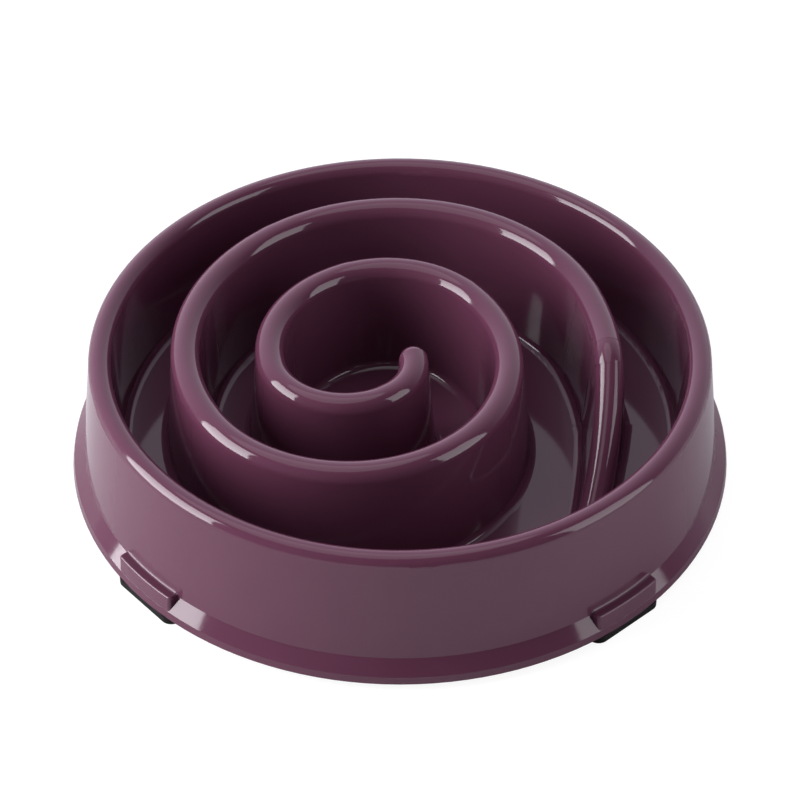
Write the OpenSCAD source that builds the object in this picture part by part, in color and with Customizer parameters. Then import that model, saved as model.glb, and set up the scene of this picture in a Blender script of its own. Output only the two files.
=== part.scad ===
// Slow feeder bowl for a dog or cat: one moulded shell with a spiral wall standing on its floor,
// carried on four pressed-in rubber feet. The origin is under the middle, on the ground.

/* [Flange and ledge] */
// Diameter over the flange, at its underside
base_d = 210; // [204:1:230]
// Height of the flange's upright edge
edge_h = 2.4; // [1.5:0.1:3.5]
// How far the upright edge leans in over its height
edge_lean = 0.5; // [0.2:0.1:1]
// Width of the sloping ledge, from the upright edge to the crease
ledge_w = 3.5; // [2.5:0.1:5]
// Height of the crease between ledge and skirt, above the flange's underside
crease_h = 7; // [5:0.1:9]

/* [Rim] */
// Diameter of the rim, measured on the middle of its round
rim_d = 187.7; // [182:0.1:190]
// Height of the rim's top, above the flange's underside
rim_h = 43.4; // [38:0.1:50]
// Radius of the rounded rim
rim_r = 3.55; // [3.2:0.05:4.5]

/* [Moulding] */
// Thickness of the moulded wall
wall = 2.5; // [2:0.1:2.8]
// Draft of the spiral wall, in degrees
draft = 4.5; // [2:0.5:6]
// Height of the bowl's floor, above the flange's underside
floor_h = 8.5; // [6:0.1:12]
// Distance from the crease in to the foot of the bowl's own wall
wall_reach = 13.2; // [12:0.1:16]
// Fillet between floor and walls
floor_r = 3; // [1:0.1:4]

/* [Spiral wall] */
// Height of the spiral's top, above the flange's underside
spiral_h = 47; // [38:0.1:50]
// Radius of the spiral wall's rounded top
spiral_top_r = 4.5; // [3.8:0.1:5]
// Radius of the spiral's first turn
turn_r = 64; // [58:0.5:65]
// Distance from the bowl's axis to the crest, where the ramp begins
crest_r = 64.75; // [60:0.25:66]
// Radius of the bend over which the crest tips into the ramp
bend_r = 15; // [8:1:25]
// Slope of the ramp, in degrees
ramp_slope = 35; // [32:1:45]

/* [Feet] */
// Length of the block that holds a foot, along the flange
block_l = 24.5; // [20:0.5:30]
// Height of the block's flat top, above the flange's underside
block_h = 7.8; // [7.5:0.1:9]
// How far the block's outer face stands in from the flange's edge
block_inset = 0.1; // [0.1:0.05:0.5]
// How far the top of the block's outer face leans in
block_lean = 0.4; // [0:0.1:1]
// Depth of the block, from its outer face inwards
block_depth = 11; // [10:0.5:12]
// Radius along the block's outer top edge
block_edge_r = 0.6; // [0.3:0.1:1]
// Radius of the block's upright corners
block_corner_r = 2.5; // [0.5:0.1:4]
// Fillet between the block's top and the skirt
block_fillet_r = 0.7; // [0.4:0.1:1.5]
// Length of the rubber pad
pad_l = 27; // [22:0.5:32]
// Width of the rubber pad
pad_w = 10; // [8:0.5:11]
// Radius of the pad's corners
pad_corner_r = 3.5; // [1:0.5:3.8]
// How far the pad stands below the flange
pad_h = 2.5; // [1.5:0.1:4]
// How far the pad's outer edge stands in from the flange's, at its middle
pad_inset = 0.2; // [0:0.1:1]
// Length of the plug that holds the pad in its block
plug_l = 18; // [12:0.5:20]
// Width of the plug
plug_w = 5; // [4:0.5:6]
// Height of the plug
plug_h = 4; // [3:0.5:4.5]
// Clearance round the plug in its socket
plug_gap = 0.1; // [0.05:0.05:0.2]

/* [Hidden] */

plum = "#764e60";
rubber_black = "#1c1c1e";
$fn = 96;

// A cut runs on past the face that it opens by this much
overrun = 1;
// Rounds run this far into the faces that they join, so that they meet them at a small angle
fillet_sink = 0.06;
flank_sink = 0.02;

// A block is cut out of a piece of ring that is longer by this many degrees
block_spare = 2;

// Step and overlap where two turns of the spiral meet
joint_step = 0.06;
joint_lap = 0.4;

base_r = base_d / 2;
edge_r = base_r - edge_lean;
crease_r = edge_r - ledge_w;
rim_mid_r = rim_d / 2;
rim_mid_z = rim_h - rim_r;

// The bowl's own wall, from its foot on the floor up to where it touches the rim's round
inner_foot = [crease_r - wall_reach, floor_h];
inner_rise = [rim_mid_r, rim_mid_z] - inner_foot;
inner_draft = acos(rim_r / norm(inner_rise)) - atan2(inner_rise.y, inner_rise.x);

// Turns of the spiral from the crest inwards: radius as a share of turn_r, and sweep in degrees
turn_shares = [
    [1.72, 13],
    [1, 113.5],
    [1.09, 78.5],
    [0.765, 125],
    [0.82, 65],
    [0.525, 76],
    [0.61, 78.5],
    [0.365, 111.5],
    [0.285, 62.5],
];
// Direction of travel at the crest, and the crest's place round the bowl, in degrees from +X
crest_heading = 94.5;
crest_azimuth = -1.8;
// Radius of the ramp's curve as a share of turn_r, and how far it turns inwards at each end of its bend
ramp_share = 2.2;
ramp_turns = [2, 3.5];

// Places of the feet round the bowl, in degrees from +X, and their distance from its axis
foot_r = base_r - pad_inset - pad_w / 2;
foot_turn = -3.5;
foot_azimuths = [-135 + foot_turn, -45 + foot_turn, 135 + foot_turn, 45 + foot_turn];

function turn_radius(i) = turn_shares[i][0] * turn_r;
function heading(i) = i == 0 ? crest_heading : heading(i - 1) + turn_shares[i - 1][1];
function side(h) = [sin(h), -cos(h)];
function turn_start(i) = i == 0
    ? crest_r * [cos(crest_azimuth), sin(crest_azimuth)]
    : turn_centre(i - 1) + turn_radius(i - 1) * side(heading(i));
function turn_centre(i) = turn_start(i) - turn_radius(i) * side(heading(i));

// Section of a drafted wall with a rounded top, standing on the floor with a fillet at each side.
// The wall's middle is at x = 0 and it goes down to the height "low".
module wall_section(top_r, top_z, fillet_r, low) {
    mid_z = top_z - top_r;
    mid_x = top_r / cos(draft) - flank_sink;
    low_x = mid_x + (mid_z - low) * tan(draft);
    fillet_z = floor_h + fillet_r - fillet_sink;
    fillet_x = mid_x + (mid_z - fillet_z) * tan(draft) + fillet_r / cos(draft) - fillet_sink;
    translate([0, mid_z]) circle(top_r);
    polygon([[low_x, low], [mid_x, mid_z], [-mid_x, mid_z], [-low_x, low]]);
    if (fillet_r > 0) difference() {
        translate([-fillet_x, low]) square([2 * fillet_x, fillet_z - low]);
        for (k = [-1, 1]) translate([k * fillet_x, fillet_z]) circle(fillet_r);
    }
}

module half_section(top_r, top_z, fillet_r, low) {
    intersection() {
        wall_section(top_r, top_z, fillet_r, low);
        translate([0, low - overrun]) square([rim_d, top_z - low + 2 * overrun]);
    }
}

// Where a straight line from p touches the outer side of a circle
function touch_angle(p, mid, r) =
    atan2(mid.y - p.y, mid.x - p.x) - asin(r / norm(mid - p));
function touch_point(p, mid, r) =
    p + sqrt(norm(mid - p) ^ 2 - r ^ 2) * [cos(touch_angle(p, mid, r)), sin(touch_angle(p, mid, r))];

function skirt_touch(crease, r) = touch_point(crease, [rim_mid_r, rim_mid_z], r - flank_sink);
function skirt_x(z) =
    let (crease = [crease_r, crease_h], touch = skirt_touch(crease, rim_r))
    crease.x + (touch.x - crease.x) * (z - crease.y) / (touch.y - crease.y);
function inner_x(z, inset) =
    inner_foot.x + (z - inner_foot.y) * tan(inner_draft) + inset / cos(inner_draft);

// All that lies between the bowl's own wall and the skirt, with the rim's round on top, the ledge
// and the flange, grown inwards by "inset"
module shell_side(inset) {
    r = rim_r - inset;
    mid = [rim_mid_r, rim_mid_z];
    lean = atan2(ledge_w, crease_h - edge_h);
    crease = [crease_r, crease_h] - inset * [1, tan((90 - lean) / 2)];
    edge = [edge_r, edge_h] - inset * [1, tan((90 - lean) / 2)];
    inner_touch = mid + (r - flank_sink) * [-cos(inner_draft), sin(inner_draft)];
    translate(mid) circle(r);
    polygon([
        [inner_x(0, inset), 0],
        inner_touch,
        mid,
        skirt_touch(crease, r),
        crease,
        edge,
        [base_r - inset, 0],
    ]);
}

module bowl_section() {
    fillet_z = floor_h + floor_r - fillet_sink;
    fillet_x = inner_x(fillet_z, 0) - floor_r / cos(inner_draft) + fillet_sink;
    difference() {
        union() {
            shell_side(0);
            square([inner_foot.x + wall, floor_h]);
            difference() {
                translate([fillet_x, 0]) square([inner_foot.x + wall - fillet_x, fillet_z]);
                translate([fillet_x, fillet_z]) circle(floor_r);
            }
        }
        shell_side(wall);
        translate([0, -overrun]) square([inner_foot.x + 2 * wall, floor_h - wall + overrun]);
    }
}

// The spiral wall, turn by turn. The turns lap a little, and every second one is thinner by
// "joint_step", so that no two of them share a face.
module turns(inset, fillet_r, low) {
    last = len(turn_shares) - 1;
    for (i = [0 : last]) {
        thin = inset + (i % 2) * joint_step;
        lap = joint_lap / turn_radius(i) * 180 / PI;
        translate(turn_centre(i))
            rotate([0, 0, heading(i) - 90 - lap])
                rotate_extrude(angle = turn_shares[i][1] + 2 * lap)
                    translate([turn_radius(i), 0])
                        wall_section(spiral_top_r - thin, spiral_h - thin, fillet_r, low);
    }
    thin = inset + (1 - last % 2) * joint_step;
    hook_heading = heading(last) + turn_shares[last][1];
    translate(turn_centre(last) + turn_radius(last) * side(hook_heading))
        rotate([0, 0, hook_heading + 180])
            rotate_extrude()
                half_section(spiral_top_r - thin, spiral_h - thin, fillet_r, low);
}

// The ramp, behind the crest: the wall tips over a bend and runs down into the floor on a slope.
// It turns inwards a little at each end of the bend.
module ramp(inset, low) {
    ramp_r = ramp_share * turn_r;
    bend_l = bend_r * sin(ramp_slope);
    sloping_r = ramp_r / cos(ramp_slope) ^ 2;
    sloping_l = (spiral_h - floor_h + wall) / sin(ramp_slope);
    sloping_angle = sloping_l / sloping_r * 180 / PI;
    sloping_lap = joint_lap / sloping_r * 180 / PI;
    bend_lap = joint_lap / bend_r * 180 / PI;
    bend_thin = inset + joint_step;
    sloping_thin = inset + 2 * joint_step;
    bend_z = spiral_h - bend_r;
    translate([turn_start(0).x, turn_start(0).y, bend_z]) rotate([0, 0, crest_heading - ramp_turns[0]]) {
        rotate([-90, 0, 0])
            rotate([0, 0, -90 - ramp_slope - bend_lap])
                rotate_extrude(angle = ramp_slope + 2 * bend_lap)
                    rotate(-90) wall_section(spiral_top_r - bend_thin, bend_r - bend_thin, 0, 0);
        intersection() {
            translate([-bend_l, 0, 0]) rotate([0, 0, -ramp_turns[1]]) translate([bend_l, 0, 0])
                rotate([0, -ramp_slope, 0])
                    translate([0, sloping_r, 0])
                        rotate([0, 0, -90 - sloping_angle])
                            rotate_extrude(angle = sloping_angle + sloping_lap)
                                translate([sloping_r, 0])
                                    sloping_section(bend_z, sloping_thin);
            translate([joint_lap - base_r, -rim_mid_r, low - bend_z]) cube([base_r, rim_d, spiral_h]);
        }
    }
}

module sloping_section(bend_z, thin) {
    wall_section(spiral_top_r - thin, bend_r - thin, 0, -bend_z);
}

// Block that holds a foot: its outer face leans in, with a round along the top, and a fillet runs
// between its top and the skirt
module block_section() {
    lean = atan2(block_lean, block_h - edge_h);
    face_x = edge_r - block_inset;
    round_z = block_h - block_edge_r;
    round_x = face_x - (round_z - edge_h) * tan(lean) - block_edge_r / cos(lean);
    fillet_z = block_h + block_fillet_r - fillet_sink;
    fillet_x = skirt_x(fillet_z) + block_fillet_r - fillet_sink;
    polygon([
        [edge_r - block_depth, 0],
        [face_x, 0],
        [face_x, edge_h],
        [round_x, round_z] + (block_edge_r - flank_sink) * [cos(lean), sin(lean)],
        [round_x, block_h],
        [edge_r - block_depth, block_h],
    ]);
    translate([round_x, round_z]) circle(block_edge_r);
    difference() {
        translate([crease_r - wall, edge_h]) square([fillet_x - crease_r + wall, fillet_z - edge_h]);
        translate([fillet_x, fillet_z]) circle(block_fillet_r);
    }
}

module block(azimuth) {
    angle = 2 * asin(block_l / 2 / (base_r - block_depth)) + block_spare;
    intersection() {
        rotate([0, 0, azimuth - angle / 2]) rotate_extrude(angle = angle) block_section();
        rotate([0, 0, azimuth]) translate([edge_r - block_depth / 2, 0, -overrun])
            linear_extrude(block_h + block_fillet_r + 2 * overrun)
                rounded(block_depth, block_l, block_corner_r);
    }
}

// Rectangle l by w with corners of radius r
module rounded(l, w, r) {
    square([l - 2 * r, w], center = true);
    square([l, w - 2 * r], center = true);
    for (x = [-1, 1], y = [-1, 1]) translate([x * (l / 2 - r), y * (w / 2 - r)]) circle(r);
}

module plug(grow) {
    translate([-plug_w / 2 - grow, -(plug_l - plug_w) / 2])
        square([plug_w + 2 * grow, plug_l - plug_w]);
    for (k = [-1, 1]) translate([0, k * (plug_l - plug_w) / 2]) circle(plug_w / 2 + grow);
}

module bowl() {
    color(plum) translate([0, 0, pad_h]) difference() {
        union() {
            rotate_extrude() bowl_section();
            turns(0, floor_r, floor_h - wall / 2);
            ramp(0, floor_h - wall / 2);
            for (azimuth = foot_azimuths) block(azimuth);
        }
        turns(wall, 0, floor_h - wall - overrun);
        ramp(wall, floor_h - wall - overrun);
        for (azimuth = foot_azimuths)
            rotate([0, 0, azimuth]) translate([foot_r, 0, -overrun])
                linear_extrude(plug_h + plug_gap + overrun) plug(plug_gap);
    }
}

module foot(azimuth) {
    color(rubber_black) rotate([0, 0, azimuth]) translate([foot_r, 0, 0]) {
        linear_extrude(pad_h) rounded(pad_w, pad_l, pad_corner_r);
        translate([0, 0, pad_h / 2]) linear_extrude(pad_h / 2 + plug_h) plug(0);
    }
}

bowl();
foot(foot_azimuths[0]);  // foot_front_left
foot(foot_azimuths[1]);  // foot_front_right
foot(foot_azimuths[2]);  // foot_back_left
foot(foot_azimuths[3]);  // foot_back_right
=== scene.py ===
import bmesh
import bpy
import math
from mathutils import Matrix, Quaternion, Vector


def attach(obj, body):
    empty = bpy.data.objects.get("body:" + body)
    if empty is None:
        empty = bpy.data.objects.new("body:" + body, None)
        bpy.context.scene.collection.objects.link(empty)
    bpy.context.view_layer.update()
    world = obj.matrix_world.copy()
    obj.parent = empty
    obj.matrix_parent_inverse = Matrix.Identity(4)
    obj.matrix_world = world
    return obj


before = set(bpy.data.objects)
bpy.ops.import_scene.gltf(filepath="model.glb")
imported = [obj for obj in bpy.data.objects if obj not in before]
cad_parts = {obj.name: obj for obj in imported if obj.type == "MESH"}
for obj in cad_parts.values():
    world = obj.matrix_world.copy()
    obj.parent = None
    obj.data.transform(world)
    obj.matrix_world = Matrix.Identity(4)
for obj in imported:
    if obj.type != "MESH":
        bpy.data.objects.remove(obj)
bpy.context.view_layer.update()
mm = 0.001


def hexLinear(code):
    # sRGB hex to the linear colour that a shader takes
    parts = [int(code[i:i + 2], 16) / 255 for i in (1, 3, 5)]
    linear = [p / 12.92 if p <= 0.04045 else ((p + 0.055) / 1.055) ** 2.4 for p in parts]
    return tuple(linear) + (1.0,)


def addNode(tree, kind, settings=None, inputs=None):
    # adds a node: a tuple of a node and its output links, and any other value is set on the input
    node = tree.nodes.new(kind)
    for name, value in (settings or {}).items():
        setattr(node, name, value)
    for name, value in (inputs or {}).items():
        if isinstance(value, tuple) and isinstance(value[0], bpy.types.Node):
            tree.links.new(value[0].outputs[value[1]], node.inputs[name])
        else:
            node.inputs[name].default_value = value
    return node


def newMaterial(name):
    material = bpy.data.materials.new(name)
    material.use_nodes = True
    material.node_tree.nodes.clear()
    return material, material.node_tree


# camera: the photo's own view, looking down on the front of the bowl
cameraView = {
    "distance": 0.900,      # metres from the middle of the flange's underside
    "elevation": 42.61,     # degrees, seen from there
    "lookDown": 41.72,      # degrees that it is tipped down
    "lens": 125.5,          # mm, on a sensor 36 mm wide
    "sensor": 36,
    "footHeight": 2.5 * mm,     # of the flange's underside
}
print("camera")
cameraData = bpy.data.cameras.new("camera")
cameraData.lens = cameraView["lens"]
cameraData.sensor_width = cameraView["sensor"]
camera = bpy.data.objects.new("camera", cameraData)
bpy.context.collection.objects.link(camera)
rise = math.radians(cameraView["elevation"])
camera.location = (0, -cameraView["distance"] * math.cos(rise),
                   cameraView["distance"] * math.sin(rise) + cameraView["footHeight"])
camera.rotation_euler = (math.radians(90 - cameraView["lookDown"]), 0, 0)
bpy.context.scene.camera = camera


# studio: a tall softbox on the left, a weaker one on the right, a round one overhead
studio = {               # metres, degrees from the bowl's right, and radiance, where 1 is white
    "left": {"azimuth": 188, "distance": 1.25, "width": 0.82, "height": 1.28, "lean": 10,
             "radiance": 8.8, "topShare": 0.60},
    "right": {"azimuth": -19.5, "distance": 1.25, "width": 0.70, "height": 1.30, "lean": 0,
              "radiance": 2.7, "topShare": 0.8},
    "overhead": {"azimuth": 158, "height": 1.35, "offset": 0.20, "size": 1.30, "radiance": 1.0},
    "clearance": 0.01,   # between the tall softboxes and the table
    "lampTint": "#fdfcff",
    "roomTint": "#f8efff",
    "roomBack": 1.44,    # radiance straight behind the bowl; it falls off to each side
    "roomLeft": 0.30,
    "roomRight": 0.10,
    "roomFront": 0.01,   # the dark side of the room, behind the camera
    "floorSize": 6.0,
    "floorDrop": 0.2 * mm,
    "floor": "#e4e4e4",
    "floorGlow": 0.90,   # what the camera sees of the table, and the grey that holds the shadow
    "floorShade": 0.22,
}


def softbox(name, place, aim, width, height, radiance, shape="RECTANGLE", topShare=1.0, lean=0):
    # topShare: how bright its top is against its foot; lean: degrees that it leans in its own plane
    data = bpy.data.lights.new(name, "AREA")
    data.shape = shape
    data.size = width
    data.size_y = height
    area = width * height * (math.pi / 4 if shape == "DISK" else 1)
    data.energy = radiance * area * math.pi
    data.color = hexLinear(studio["lampTint"])[:3]
    if topShare != 1:
        data.use_nodes = True
        tree = data.node_tree
        tree.nodes.clear()
        spot = addNode(tree, "ShaderNodeNewGeometry")
        split = addNode(tree, "ShaderNodeSeparateXYZ", inputs={"Vector": (spot, "Parametric")})
        fall = addNode(tree, "ShaderNodeMapRange", inputs={
            "Value": (split, "Y"), "To Min": 2 / (1 + topShare),
            "To Max": 2 * topShare / (1 + topShare)})
        glow = addNode(tree, "ShaderNodeEmission", inputs={
            "Color": (1, 1, 1, 1), "Strength": (fall, 0)})
        addNode(tree, "ShaderNodeOutputLight", inputs={"Surface": (glow, 0)})
    light = bpy.data.objects.new(name, data)
    bpy.context.collection.objects.link(light)
    light.location = place
    facing = (Vector(aim) - Vector(place)).to_track_quat("-Z", "Y")
    light.rotation_euler = (facing @ Quaternion((0, 0, 1), math.radians(lean))).to_euler()


def buildStudio():
    for name in ("left", "right"):
        box = studio[name]
        turn = math.radians(box["azimuth"])
        middle = Vector((box["distance"] * math.cos(turn), box["distance"] * math.sin(turn),
                         box["height"] / 2 + studio["clearance"]))
        softbox(name + "Softbox", middle, (0, 0, middle.z), box["width"], box["height"],
                box["radiance"], topShare=box["topShare"], lean=box["lean"])
    top = studio["overhead"]
    turn = math.radians(top["azimuth"])
    place = (top["offset"] * math.cos(turn), top["offset"] * math.sin(turn), top["height"])
    softbox("overheadSoftbox", place, (0, 0, 0), top["size"], top["size"], top["radiance"], "DISK")

    world = bpy.data.worlds.new("studioRoom")
    bpy.context.scene.world = world
    world.use_nodes = True
    tree = world.node_tree
    tree.nodes.clear()
    # the room is bright behind the bowl and dark behind the camera; the camera itself sees white,
    # also through anything clear
    place = addNode(tree, "ShaderNodeTexCoord")
    split = addNode(tree, "ShaderNodeSeparateXYZ", inputs={"Vector": (place, "Generated")})
    room = None
    for side, axis, end in (("roomBack", "Y", 1.0), ("roomFront", "Y", -1.0),
                            ("roomRight", "X", 1.0), ("roomLeft", "X", -1.0)):
        lobe = addNode(tree, "ShaderNodeMapRange", inputs={
            "Value": (split, axis), "From Min": 0.0, "From Max": end,
            "To Min": 0.0, "To Max": studio[side]})
        room = lobe if room is None else addNode(tree, "ShaderNodeMath", {"operation": "ADD"},
                                                 {0: (room, 0), 1: (lobe, 0)})
    ray = addNode(tree, "ShaderNodeLightPath")
    direct = addNode(tree, "ShaderNodeMath", {"operation": "MAXIMUM"},
                     {0: (ray, "Is Camera Ray"), 1: (ray, "Is Transmission Ray")})
    level = addNode(tree, "ShaderNodeMix", {"data_type": "FLOAT"},
                    {0: (direct, 0), 2: (room, 0), 3: 1.0})
    tint = addNode(tree, "ShaderNodeMix", {"data_type": "RGBA"},
                   {0: (direct, 0), 6: hexLinear(studio["roomTint"]), 7: (1, 1, 1, 1)})
    glow = addNode(tree, "ShaderNodeBackground", inputs={
        "Color": (tint, 2), "Strength": (level, 0)})
    addNode(tree, "ShaderNodeOutputWorld", inputs={"Surface": (glow, 0)})


def whiteTable():
    # painted table top: plain and pale, clean white to the camera, with a soft shadow left under
    # the bowl
    material, tree = newMaterial("paintedTableTop")
    paint = addNode(tree, "ShaderNodeBsdfDiffuse", inputs={"Color": hexLinear(studio["floor"])})
    shade = addNode(tree, "ShaderNodeBsdfDiffuse", inputs={
        "Color": (studio["floorShade"],) * 3 + (1,)})
    glow = addNode(tree, "ShaderNodeEmission", inputs={
        "Color": (1, 1, 1, 1), "Strength": studio["floorGlow"]})
    seen = addNode(tree, "ShaderNodeAddShader", inputs={0: (shade, 0), 1: (glow, 0)})
    ray = addNode(tree, "ShaderNodeLightPath")
    direct = addNode(tree, "ShaderNodeMath", {"operation": "MAXIMUM"},
                     {0: (ray, "Is Camera Ray"), 1: (ray, "Is Transmission Ray")})
    both = addNode(tree, "ShaderNodeMixShader", inputs={
        0: (direct, 0), 1: (paint, 0), 2: (seen, 0)})
    addNode(tree, "ShaderNodeOutputMaterial", inputs={"Surface": (both, 0)})
    bpy.ops.mesh.primitive_plane_add(size=studio["floorSize"],
                                     location=(0, 0, -studio["floorDrop"]))
    table = bpy.context.object
    table.name = "tableTop"
    table.data.materials.append(material)


print("studio")
buildStudio()
whiteTable()
bpy.context.scene.view_settings.view_transform = "Standard"


# bowl: polypropylene moulded in a polished mould
bowlFinish = {
    "plum": "#5c3347",   # the pigment's two depths, mixed by the slow waves
    "plumPale": "#5f364a",
    "roughness": 0.06,
    "roughnessWorn": 0.10,
    "ior": 1.49,
    "flowSpan": 14,      # mm between the slow waves that cooling leaves in the surface
    "flowDepth": 0.010,  # mm
    "flowDetail": 1.0,
    "grainSpan": 0.9,    # mm; the mould's polish, drawn coarser than real so that it shows
    "grainDepth": 0.0004,
    "grainDetail": 2.0,
    "grainRange": (0.3, 0.7),   # the part of the grain that takes the gloss from full to worn
}


def glossMouldedPolypropylene():
    # a clear gloss over a deep colour, with reflections that waver a little
    material, tree = newMaterial("glossMouldedPolypropylene")
    place = addNode(tree, "ShaderNodeTexCoord")
    flow = addNode(tree, "ShaderNodeTexNoise", inputs={
        "Vector": (place, "Object"), "Scale": 1 / (bowlFinish["flowSpan"] * mm),
        "Detail": bowlFinish["flowDetail"]})
    grain = addNode(tree, "ShaderNodeTexNoise", inputs={
        "Vector": (place, "Object"), "Scale": 1 / (bowlFinish["grainSpan"] * mm),
        "Detail": bowlFinish["grainDetail"]})
    colour = addNode(tree, "ShaderNodeMix", {"data_type": "RGBA"}, {
        0: (flow, 0), 6: hexLinear(bowlFinish["plum"]), 7: hexLinear(bowlFinish["plumPale"])})
    clear, worn = bowlFinish["grainRange"]
    polish = addNode(tree, "ShaderNodeMapRange", inputs={
        "Value": (grain, 0), "From Min": clear, "From Max": worn,
        "To Min": bowlFinish["roughness"], "To Max": bowlFinish["roughnessWorn"]})
    waves = addNode(tree, "ShaderNodeBump", inputs={
        "Height": (flow, 0), "Distance": bowlFinish["flowDepth"] * mm, "Strength": 1.0})
    skin = addNode(tree, "ShaderNodeBump", inputs={
        "Height": (grain, 0), "Distance": bowlFinish["grainDepth"] * mm, "Strength": 1.0,
        "Normal": (waves, 0)})
    shader = addNode(tree, "ShaderNodeBsdfPrincipled", inputs={
        "Base Color": (colour, 2), "Roughness": (polish, 0), "Normal": (skin, 0),
        "IOR": bowlFinish["ior"]})
    addNode(tree, "ShaderNodeOutputMaterial", inputs={"Surface": (shader, 0)})
    return material


# feet: black rubber pads moulded in a dull mould
footFinish = {
    "black": "#030303",
    "greyed": "#0a0a0b",
    "roughness": 0.50,
    "ior": 1.5,
    "gloss": 0.2,        # specular level; such rubber hardly shines
    "grainSpan": 0.7,    # mm; the mould's blasted grain, its depth and how much of it shows
    "grainDepth": 0.02,
    "grainShare": 0.6,
    "grainDetail": 3.0,
    "dustSpan": 9,       # mm between the greyer patches
    "dustDetail": 4.0,
}


def mouldedRubber():
    # a dull soft black with faintly greyer patches, which hardly mirrors anything
    material, tree = newMaterial("mouldedRubber")
    place = addNode(tree, "ShaderNodeTexCoord")
    grain = addNode(tree, "ShaderNodeTexNoise", inputs={
        "Vector": (place, "Object"), "Scale": 1 / (footFinish["grainSpan"] * mm),
        "Detail": footFinish["grainDetail"]})
    dust = addNode(tree, "ShaderNodeTexNoise", inputs={
        "Vector": (place, "Object"), "Scale": 1 / (footFinish["dustSpan"] * mm),
        "Detail": footFinish["dustDetail"]})
    colour = addNode(tree, "ShaderNodeMix", {"data_type": "RGBA"}, {
        0: (dust, 0), 6: hexLinear(footFinish["black"]), 7: hexLinear(footFinish["greyed"])})
    bump = addNode(tree, "ShaderNodeBump", inputs={
        "Height": (grain, 0), "Distance": footFinish["grainDepth"] * mm,
        "Strength": footFinish["grainShare"]})
    shader = addNode(tree, "ShaderNodeBsdfPrincipled", inputs={
        "Base Color": (colour, 2), "Roughness": footFinish["roughness"], "Normal": (bump, 0),
        "IOR": footFinish["ior"], "Specular IOR Level": footFinish["gloss"]})
    addNode(tree, "ShaderNodeOutputMaterial", inputs={"Surface": (shader, 0)})
    return material


def tubeFaces(first, rows, tall, forwards=True):
    # faces between closed rows of points, counted from the first point, and one on each end
    faces = []
    for i in range(rows - 1):
        for j in range(tall):
            a, b = first + i * tall + j, first + i * tall + (j + 1) % tall
            faces.append((a, b, b + tall, a + tall) if forwards else (a, a + tall, b + tall, b))
    start = tuple(first + j for j in range(tall))
    end = tuple(first + (rows - 1) * tall + j for j in range(tall))
    return faces + ([start[::-1], end] if forwards else [start, end[::-1]])


def smoothMesh(name, points, faces):
    mesh = bpy.data.meshes.new(name)
    mesh.from_pydata(points, [], faces)
    mesh.update()
    for polygon in mesh.polygons:
        polygon.use_smooth = True
    return mesh


def ridingPiece(mesh, material):
    # what is made here rides on the bowl and takes the finish that it is given
    piece = bpy.data.objects.new(mesh.name, mesh)
    bpy.context.collection.objects.link(piece)
    piece.data.materials.append(material)
    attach(piece, "root")
    return piece


# ramp: it was moulded in one with the wall, so soft blends run along its foot and over its crest
rampShape = {                   # mm and degrees
    "crestDistance": 64.75,     # from the bowl's axis
    "crestAzimuth": -1.8,
    "heading": 92.5,            # of the ramp's frame, where x is 0 at the crest and falls downhill
    "turnHeading": 94.5,        # the first turn of the wall, which ends at the crest
    "turnRadius": 110.08,
    "bendRadius": 15,           # the bend over the crest, at the wall's top
    "bendYaw": 3.5,
    "slope": 35,
    "curveRadius": 209.8,       # the slope swings to one side on its way down
    "topRadius": 4.5,
    "draft": 4.5,
    "thinner": 0.06,            # the bend is thinner than the turn by this, the slope than the bend
    "lap": 0.4,                 # how far turn, bend and slope run into each other
    "wallTop": 49.5,
    "floor": 11.0,
    "fillet": 3.0,
    "flankRadius": 10,          # from the bend's axis to where the flanks meet the round top
    "widest": 18.0,             # the wall's foot reaches no further than this
    "lift": 0.04,               # the blends stand proud of the surfaces that they join by this,
    "tuck": 0.5,                # and their borders run on under these, out and up by this,
    "tuckIn": 0.35,             # into the flank by this
    "borderDrop": 0.08,         # and into the floor by this
    "buried": 1.0,              # depth of the closed skin's back inside the wall and the floor
    "leastFlank": 0.6,          # each section shows at least this much flank over its fillet
    "leastReach": 0.3,          # the wall is taken to end where it is narrower than this
    "reachHalvings": 22,        # how often the span is halved that holds the wall's side,
    "filletHalvings": 30,       # and the one that holds the fillet's middle
    "spineBend": 0.00375,       # how the line under the ramp's middle bows, for each mm squared
    "softStart": 7.0,           # turn, bend and slope melt together from here on the turn,
    "softStep": 0.5,            # looked at this often
    "softSteps": 57,            # and this many times
    "spread": 3.4,              # steps over which they melt,
    "spreadWindow": 9,          # with so many looked at each way
    "widestOf": 2,              # and the widest flank of so many each way taken
    "keepTurn": (3.5, 6),       # between these places on the turn it goes back to the wall's flanks
    "keepSlope": (13, 19),      # and between these on the slope
    "shown": (-19, 4),          # the part of the melt that the piece shows
    "crestFade": (-16, -9),     # where it rises from the foot fillet alone to the whole flank
    "sink": 0.2,                # it dives into the turn by this between these places
    "sinkFrom": (0.8, 2.5),
    "flankHeights": (1.5, 24),  # a section's heights: how far apart, and how many
    "footHeights": (0.5, 17),
    "footStart": -20,           # from here down only the foot fillet is left
    "footStep": 1.5,
    "toePivot": -50,
    "toeSteps": 24,
    "filletSteps": 12,
    "flankSteps": 12,
}


def turned(x, y, degrees):
    a = math.radians(degrees)
    return x * math.cos(a) - y * math.sin(a), x * math.sin(a) + y * math.cos(a)


def eased(value, start, end):
    t = min(max((value - start) / (end - start), 0), 1)
    return t * t * (3 - 2 * t)


def fromCrest(x, y, height):
    # from the ramp's own frame and a height above the floor, in mm, to the bowl's frame in metres
    a = math.radians(rampShape["crestAzimuth"])
    wx, wy = turned(x, y, rampShape["heading"])
    return Vector(((wx + rampShape["crestDistance"] * math.cos(a)) * mm,
                   (wy + rampShape["crestDistance"] * math.sin(a)) * mm,
                   (height + rampShape["floor"]) * mm))


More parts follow.
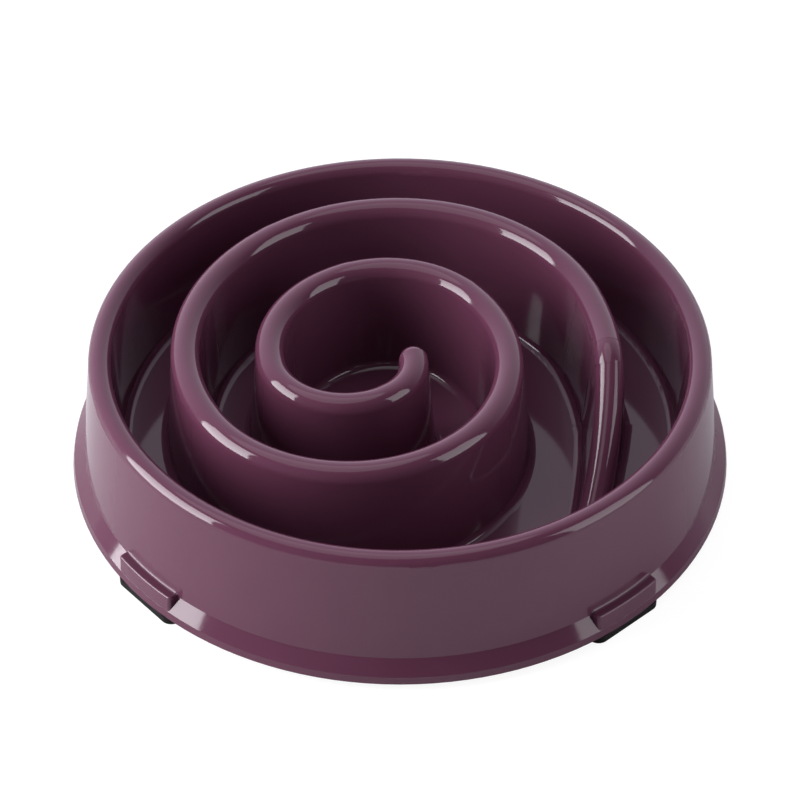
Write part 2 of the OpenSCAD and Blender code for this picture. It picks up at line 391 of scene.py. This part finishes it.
def sectionGap(across, up, radius, rounded):
    # how far a point is outside the drafted wall, seen in the wall's section; its flanks run on
    # past the round top where rounded is false
    a = math.radians(rampShape["draft"])
    side, rise = abs(across), up - rampShape["bendRadius"] + rampShape["topRadius"]
    if rounded and math.atan2(rise, side) > -a:
        return math.hypot(side, rise) - radius
    return side * math.cos(a) + rise * math.sin(a) - radius


def wallGap(x, y, height, rounded):
    # the same in space, for the end of the first turn, the bend and the slope together
    shape = rampShape
    lap, top, thinner = shape["lap"], shape["topRadius"], shape["thinner"]
    z = height + shape["floor"] - shape["wallTop"] + shape["bendRadius"]
    a = math.radians(shape["slope"])
    gaps = []
    if x > -lap:
        tx, ty = turned(x, y, shape["heading"] - shape["turnHeading"])
        across = math.hypot(tx, ty - shape["turnRadius"]) - shape["turnRadius"]
        gaps.append(sectionGap(across, z, top, rounded))
    if x < lap and z > 0:
        gaps.append(sectionGap(y, math.hypot(x, z), top - thinner, rounded))
    if x < lap:
        back = shape["bendRadius"] * math.sin(a)
        sx, sy = turned(x + back, y, shape["bendYaw"])
        along = (sx - back) * math.cos(a) + z * math.sin(a)
        up = z * math.cos(a) - (sx - back) * math.sin(a)
        if along < lap:
            across = math.hypot(along, sy - shape["curveRadius"]) - shape["curveRadius"]
            gaps.append(sectionGap(across, up, top - 2 * thinner, rounded))
    return min(gaps) if gaps else shape["widest"]


def wallReach(base, way, height, rounded=True):
    # how far the wall reaches from a point under it, in one direction and at one height
    near, far = 0.0, rampShape["widest"]
    for _ in range(rampShape["reachHalvings"]):
        middle = (near + far) / 2
        if wallGap(base[0] + way[0] * middle, base[1] + way[1] * middle, height, rounded) > 0:
            far = middle
        else:
            near = middle
    return near


def spineAt(x, side):
    # a point under the middle of the wall, and the way square out from it to one side
    slope = 2 * rampShape["spineBend"] * min(x, 0)
    size = math.hypot(1, slope)
    return (x, slope * x / 2), (-slope * side / size, side / size)


def softFlanks(side, heights):
    # reach of the flank at each height and place, with the small steps between turn, bend and slope
    # spread over a few millimetres
    shape = rampShape
    count, rows = shape["softSteps"], range(len(heights))
    places = [shape["softStart"] - shape["softStep"] * i for i in range(count)]
    found = [[wallReach(*spineAt(x, side), h, False) for h in heights] for x in places]
    wide = []
    for i in range(count):
        beside = found[max(0, i - shape["widestOf"]):i + shape["widestOf"] + 1]
        wide.append([max(row[j] for row in beside) for j in rows])
    soft = {}
    for i, x in enumerate(places):
        window = range(max(0, i - shape["spreadWindow"]), min(count, i + shape["spreadWindow"] + 1))
        weights = [(k, math.exp(-((k - i) / shape["spread"]) ** 2 / 2)) for k in window]
        total = sum(weight for _, weight in weights)
        keep = max(eased(x, *shape["keepTurn"]), eased(-x, *shape["keepSlope"]))
        soft[x] = []
        for j in rows:
            spread = sum(wide[k][j] * weight for k, weight in weights)
            soft[x].append(found[i][j] * keep + (1 - keep) * spread / total)
    return soft


def flankTop(x):
    # height above the floor at which the wall's round top begins
    radius = rampShape["flankRadius"]
    down = rampShape["wallTop"] - rampShape["bendRadius"] - rampShape["floor"]
    a = math.radians(rampShape["slope"])
    if x > 0:
        return down + radius
    if x > -radius * math.sin(a):
        return down + math.sqrt(radius * radius - x * x)
    return down + (radius + x * math.sin(a)) / math.cos(a)


def nearestOn(profile, px, py):
    # the nearest point on a line of (reach, height) points: its distance, reach and height
    best = None
    for (ax, ay), (bx, by) in zip(profile, profile[1:]):
        dx, dy = bx - ax, by - ay
        t = min(max(((px - ax) * dx + (py - ay) * dy) / (dx * dx + dy * dy), 0), 1)
        qx, qy = ax + dx * t, ay + dy * t
        gap = math.hypot(px - qx, py - qy)
        if best is None or gap < best[0]:
            best = (gap, qx, qy)
    return best


def reachOn(profile, height):
    for (ax, ay), (bx, by) in zip(profile, profile[1:]):
        if ay <= height <= by:
            return ax + (bx - ax) * (height - ay) / (by - ay)
    return profile[-1][0]


def blendSection(profile, top, lift):
    # points from the floor up the fillet and on up the flank, as (reach, height); the first and
    # the last two are tucked in
    shape = rampShape
    radius, foot = shape["fillet"], profile[0][0]
    near, far = foot - radius, foot + 2 * radius
    for _ in range(shape["filletHalvings"]):      # to where its round just touches the flank
        middle = (near + far) / 2
        gap, reach, _ = nearestOn(profile, middle, radius)
        if gap > radius and middle > reach:
            far = middle
        else:
            near = middle
    _, touchReach, touchHeight = nearestOn(profile, near, radius)
    end = math.atan2(touchReach - near, radius - touchHeight)
    points = [(near + shape["tuck"], -shape["borderDrop"])]
    for i in range(shape["filletSteps"] + 1):
        a = end * i / shape["filletSteps"]
        out = radius - lift
        points.append((near + out * math.sin(a), radius - out * math.cos(a)))
    top = max(top, touchHeight + shape["leastFlank"])
    for i in range(1, shape["flankSteps"] + 1):
        h = touchHeight + (top - touchHeight) * i / shape["flankSteps"]
        points.append((reachOn(profile, h) + lift, h))
    lastReach, lastHeight = points[-1]
    points.append((lastReach - shape["tuckIn"], lastHeight + shape["tuck"]))
    points.append((foot - shape["buried"], -shape["buried"]))
    return points


def footSection(base, way):
    # the foot fillet alone, where the ramp is low
    step, count = rampShape["footHeights"]
    profile = [(wallReach(base, way, step * i), step * i) for i in range(count)]
    profile = [point for point in profile if point[0] > rampShape["leastReach"]]
    return base, way, blendSection(profile, 0, rampShape["lift"])


def blendStations():
    # sections round the ramp: down one side, round the toe and back up the other
    shape = rampShape
    step, count = shape["flankHeights"]
    heights = [step * i for i in range(count)]
    sides = {}
    for side in (1, -1):
        soft = softFlanks(side, heights)
        rows = []
        for x in sorted(soft, reverse=True):
            if shape["shown"][0] <= x <= shape["shown"][1]:
                base, way = spineAt(x, side)
                top = flankTop(x) * eased(x, *shape["crestFade"])
                lift = shape["lift"] - shape["sink"] * eased(x, *shape["sinkFrom"])
                rows.append((base, way, blendSection(list(zip(soft[x], heights)), top, lift)))
        x = shape["footStart"]
        while x > shape["toePivot"]:
            rows.append(footSection(*spineAt(x, side)))
            x -= shape["footStep"]
        sides[side] = rows
    base, across = spineAt(shape["toePivot"], 1)
    toe = [footSection(base, turned(*across, 180 * i / shape["toeSteps"]))
           for i in range(shape["toeSteps"] + 1)]
    return sides[1] + toe + sides[-1][::-1]


def rampBlend(material):
    # closed skin: a grid of sections, with smooth normals that meet the floor's and the flanks'
    grid = [[fromCrest(base[0] + way[0] * reach, base[1] + way[1] * reach, height)
             for reach, height in section] for base, way, section in blendStations()]
    wide, tall = len(grid), len(grid[0])
    shown = tall - 3                       # rows 1 to shown are seen, and the rest is tucked in
    normals = {}
    for i in range(wide):
        for j in range(1, shown + 1):
            along = grid[min(i + 1, wide - 1)][j] - grid[max(i - 1, 0)][j]
            up = grid[i][min(j + 1, shown)] - grid[i][max(j - 1, 1)]
            normals[i, j] = along.cross(up).normalized()
    sample = rampShape["filletSteps"] // 2
    inside = (grid[0][sample] - grid[0][-1]).dot(normals[0, sample]) < 0
    for spot in normals:
        normals[spot] *= -1 if inside else 1
    for i in range(wide):
        normals[i, 0] = normals[i, 1] = Vector((0, 0, 1))
        normals[i, tall - 2] = normals[i, shown]
    faces = tubeFaces(0, wide, tall)
    if not inside:
        faces = [face[::-1] for face in faces]
    mesh = smoothMesh("rampFootBlend", [point for row in grid for point in row], faces)
    loops = []
    for polygon in mesh.polygons:
        spots = [divmod(vertex, tall) for vertex in polygon.vertices]
        hidden = tall - 1 in [j for i, j in spots]
        loops += [tuple(polygon.normal if hidden else normals[spot]) for spot in spots]
    mesh.normals_split_custom_set(loops)
    ridingPiece(mesh, material)


# spiral wall: thin sleeves carry the gloss over the places where its curves meet each other
spiralShape = {               # mm and degrees
    "turnRadius": 64,         # the turns from the crest inwards, as (share of this, degrees)
    "turns": [(1.72, 13), (1, 113.5), (1.09, 78.5), (0.765, 125), (0.82, 65), (0.525, 76),
              (0.61, 78.5), (0.365, 111.5), (0.285, 62.5)],
    "step": 0.06,             # every second turn is thinner by this
    "lift": 0.05,             # a sleeve stands proud by this round the step
    "thickEnd": (0.3, 1.8),   # on the thicker turn it begins to sink here and has sunk there
    "thinEnd": (0.6, 6.0),    # and on the thinner one
    "thickSink": 0.13,
    "thinSink": 0.09,         # and the step
    "thickPlaces": (-1.8, -1.2, -0.7, -0.3, 0.0),   # its rows there; the others are evenly spaced
    "thinSteps": 6,
    "rootHalf": 9.0,          # its root in the floor: half its width, and its depth
    "rootDepth": 0.6,
    "filletSteps": 8,
    "flankShares": (0.3, 0.65),
    "topSteps": 9,
}


def sleeveSection(lift):
    # (across, height above the floor, normal across, normal up) from one foot of the wall over
    # its top to the other
    shape, steps = rampShape, spiralShape
    radius, fillet = shape["topRadius"] + lift, shape["fillet"] - lift
    middle = shape["wallTop"] - shape["floor"] - shape["topRadius"]
    a = math.radians(shape["draft"])
    ball = (shape["topRadius"] / math.cos(a) + (middle - shape["fillet"]) * math.tan(a)
            + shape["fillet"] / math.cos(a))
    half = []
    for i in range(steps["filletSteps"] + 1):
        b = math.radians(-90 - (90 - shape["draft"]) * i / steps["filletSteps"])
        nx, nz = math.cos(b), math.sin(b)
        half.append((ball + fillet * nx, shape["fillet"] + fillet * nz, -nx, -nz))
    footTop = half[-1][1]
    for share in steps["flankShares"]:
        height = footTop + (middle - footTop) * share
        across = radius / math.cos(a) + (middle - height) * math.tan(a)
        half.append((across, height, math.cos(a), math.sin(a)))
    for i in range(steps["topSteps"] + 1):
        b = a + (math.pi / 2 - a) * i / steps["topSteps"]
        nx, nz = math.cos(b), math.sin(b)
        half.append((radius * nx, middle + radius * nz, nx, nz))
    return half + [(-x, z, -nx, nz) for x, z, nx, nz in half[-2::-1]]


def spiralCurves():
    # each turn as its centre, radius, heading at its start and sweep
    crest = fromCrest(0, 0, 0)
    x, y, heading = crest.x / mm, crest.y / mm, rampShape["turnHeading"]
    curves = []
    for share, sweep in spiralShape["turns"]:
        radius = share * spiralShape["turnRadius"]
        a = math.radians(heading)
        centre = (x - radius * math.sin(a), y + radius * math.cos(a))
        curves.append((centre, radius, heading, sweep))
        heading += sweep
        a = math.radians(heading)
        x, y = centre[0] + radius * math.sin(a), centre[1] - radius * math.cos(a)
    return curves


def sleeveLift(place):
    # how proud the sleeve is at a place along it, where 0 is the step and the thinner turn is ahead
    shape = spiralShape
    flat, out = shape["thinEnd"]
    if place < flat:
        return shape["lift"] - shape["thickSink"] * eased(-place, *shape["thickEnd"])
    return shape["lift"] - (shape["step"] + shape["thinSink"]) * eased(place, flat, out)


def wallSleeves(material):
    # one closed sleeve at each meeting, a hair proud of the wall there and sunk in it at both ends
    shape = spiralShape
    flat, out = shape["thinEnd"]
    steps = shape["thinSteps"]
    places = list(shape["thickPlaces"])
    places += [flat + (out - flat) * i / steps for i in range(steps + 1)]
    root = rampShape["floor"] - shape["rootDepth"]
    curves = spiralCurves()
    points, faces, normals = [], [], []
    for index in range(1, len(curves)):
        thinAhead = index % 2 == 1
        first = len(points)
        for place in places:
            along = place if thinAhead else -place
            centre, radius, start, sweep = curves[index] if along > 0 else curves[index - 1]
            a = math.radians(start + (0 if along > 0 else sweep)) + along / radius
            ox, oy = math.sin(a), -math.cos(a)
            row = [(across, height + rampShape["floor"], Vector((ox * nx, oy * nx, nz)))
                   for across, height, nx, nz in sleeveSection(sleeveLift(place))]
            row += [(-shape["rootHalf"], root, None), (shape["rootHalf"], root, None)]
            points += [((centre[0] + ox * (radius + across)) * mm,
                        (centre[1] + oy * (radius + across)) * mm, height * mm)
                       for across, height, normal in row]
            normals += [normal for across, height, normal in row]
        faces += tubeFaces(first, len(places), (len(points) - first) // len(places), not thinAhead)
    mesh = smoothMesh("wallSleeves", points, faces)
    loops = []
    for polygon in mesh.polygons:
        own = [normals[v] for v in polygon.vertices]
        buried = len(own) > 4 or None in own        # an end, or a face that touches the root
        loops += [tuple(polygon.normal if buried else normal) for normal in own]
    mesh.normals_split_custom_set(loops)
    ridingPiece(mesh, material)


# blocks over the feet: their edges and ends came out of the mould softly rounded
blockShape = {                # mm above the ground, and degrees
    "azimuths": (-138.5, -48.5, 131.5, 41.5),
    "faceRadius": 104.46,
    "faceFoot": 4.9,
    "faceLean": 0.4,
    "top": 10.48,
    "halfLength": 12.45,
    "cornerRadius": 1.3,
    "edgeRound": 0.6,
    "skirtFillet": 0.75,
    "creaseRadius": 101.0,    # where ledge and skirt meet
    "creaseHeight": 9.5,
    "skirtSlope": 0.1115,     # mm that the skirt comes in for each mm of height
    "sunk": 1.2,              # how far the caps run into the skirt and the flange
    "sharpFrom": 35,          # edges bent by more than this stay crisp
    "endSteps": 6,
    "cornerSteps": 8,
    "faceSteps": 16,
    "roundSteps": 6,
    "stripOff": 0.03,         # the middle of the fillet strip's round is off the skirt by this more
    "stripLift": 0.01,
    "stripApron": (0.2, 0.05),     # its lower border: out over the block's top, and down into it
    "stripCollar": (0.12, 0.25),   # its upper border: into the skirt, and up
    "stripRoot": (0.8, 0.8),       # its hidden back: into the skirt, and down into the block
    "stripRoundSteps": 8,
    "stripSteps": 20,
}


def skirtRadius(height):
    above = height - blockShape["creaseHeight"]
    return blockShape["creaseRadius"] - blockShape["skirtSlope"] * above


def blockOutline():
    # plan of the block round its two ends and its face: (x, y), way out, and how much of the face's
    # lean it has
    shape = blockShape
    reach, half, corner = shape["faceRadius"], shape["halfLength"], shape["cornerRadius"]
    inner = skirtRadius(shape["top"]) - shape["sunk"]
    midY = half - corner
    midX = math.sqrt((reach - corner) ** 2 - midY ** 2)
    turn = math.degrees(math.atan2(midY, midX))
    side = [((inner + (midX - inner) * i / shape["endSteps"], half), (0.0, 1.0), 0.0)
            for i in range(shape["endSteps"])]
    for i in range(shape["cornerSteps"] + 1):
        a = math.radians(90 + (turn - 90) * i / shape["cornerSteps"])
        side.append(((midX + corner * math.cos(a), midY + corner * math.sin(a)),
                     (math.cos(a), math.sin(a)), eased(i / shape["cornerSteps"], 0, 1)))
    face = []
    for i in range(1, shape["faceSteps"]):
        a = math.radians(turn - 2 * turn * i / shape["faceSteps"])
        face.append(((reach * math.cos(a), reach * math.sin(a)), (math.cos(a), math.sin(a)), 1.0))
    mirrored = [((x, -y), (nx, -ny), lean) for (x, y), (nx, ny), lean in side[::-1]]
    return side + face + mirrored


def blockColumn(lean):
    # (inset, height) up the block's side and over the round along its top
    shape = blockShape
    roundR, top, foot = shape["edgeRound"], shape["top"], shape["faceFoot"]
    back = lean * shape["faceLean"] * (top - roundR - foot) / (top - foot)
    column = [(0, foot - shape["sunk"]), (0, foot)]
    for i in range(shape["roundSteps"] + 1):
        a = math.radians(90 * i / shape["roundSteps"])
        column.append((back + roundR * (1 - math.cos(a)), top - roundR * (1 - math.sin(a))))
    return column


def blockCap(first, azimuth):
    # points and faces of one closed cap, whose back stands inside the skirt
    columns = []
    for (x, y), (nx, ny), lean in blockOutline():
        columns.append([turned(x - nx * inset, y - ny * inset, azimuth) + (z,)
                        for inset, z in blockColumn(lean)])
    wide, tall = len(columns), len(columns[0])
    faces = []
    for i in range(wide - 1):
        for j in range(tall - 1):
            a = first + i * tall + j
            faces.append((a, a + 1, a + tall + 1, a + tall))
    last = first + (wide - 1) * tall
    faces.append(tuple(first + i * tall + tall - 1 for i in range(wide)))
    faces.append(tuple(first + i * tall for i in range(wide))[::-1])
    faces.append(tuple(first + j for j in range(tall))[::-1] + tuple(last + j for j in range(tall)))
    return [point for column in columns for point in column], faces


def blockFilletStrip(first, azimuth):
    # points and faces of the closed strip that rounds the corner between block and skirt
    shape = blockShape
    top, fillet = shape["top"], shape["skirtFillet"]
    slope = math.degrees(math.atan(shape["skirtSlope"]))
    middleZ = top + fillet
    middleR = skirtRadius(middleZ) + fillet / math.cos(math.radians(slope)) + shape["stripOff"]
    column = [(middleR + shape["stripLift"] + shape["stripApron"][0], top - shape["stripApron"][1])]
    for j in range(shape["stripRoundSteps"] + 1):
        b = math.radians(-90 - (90 - slope) * j / shape["stripRoundSteps"])
        column.append((middleR + fillet * math.cos(b),
                       middleZ + fillet * math.sin(b) + shape["stripLift"]))
    column.append((middleR - fillet - shape["stripCollar"][0], middleZ + shape["stripCollar"][1]))
    column.append((middleR - fillet - shape["stripRoot"][0], top - shape["stripRoot"][1]))
    end = math.degrees(math.atan2(shape["halfLength"] - shape["edgeRound"], middleR))
    points = []
    for i in range(shape["stripSteps"] + 1):
        a = azimuth - end + 2 * end * i / shape["stripSteps"]
        points += [turned(r, 0, a) + (z,) for r, z in column]
    return points, tubeFaces(first, shape["stripSteps"] + 1, len(column), False)


def blockCaps(material):
    # all caps and strips in one mesh; the weighted normals keep the long light along the edges even
    points, faces = [], []
    for azimuth in blockShape["azimuths"]:
        for part in (blockCap, blockFilletStrip):
            newPoints, newFaces = part(len(points), azimuth)
            points += newPoints
            faces += newFaces
    mesh = smoothMesh("blockCaps", [Vector(p) * mm for p in points], faces)
    cleaner = bmesh.new()
    cleaner.from_mesh(mesh)
    bmesh.ops.recalc_face_normals(cleaner, faces=cleaner.faces)
    cleaner.to_mesh(mesh)
    cleaner.free()
    mesh.set_sharp_from_angle(angle=math.radians(blockShape["sharpFrom"]))
    piece = ridingPiece(mesh, material)
    weighted = piece.modifiers.new("evenShading", "WEIGHTED_NORMAL")
    weighted.keep_sharp = True


def dress(node, material):
    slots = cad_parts[node].data.materials
    slots.clear()
    slots.append(material)


print("bowl")
gloss = glossMouldedPolypropylene()
dress("bowl", gloss)

print("ramp")
rampBlend(gloss)

print("spiral wall")
wallSleeves(gloss)

print("blocks")
blockCaps(gloss)

print("feet")
rubber = mouldedRubber()
for corner in ("front_left", "front_right", "back_left", "back_right"):
    dress("foot_" + corner, rubber)
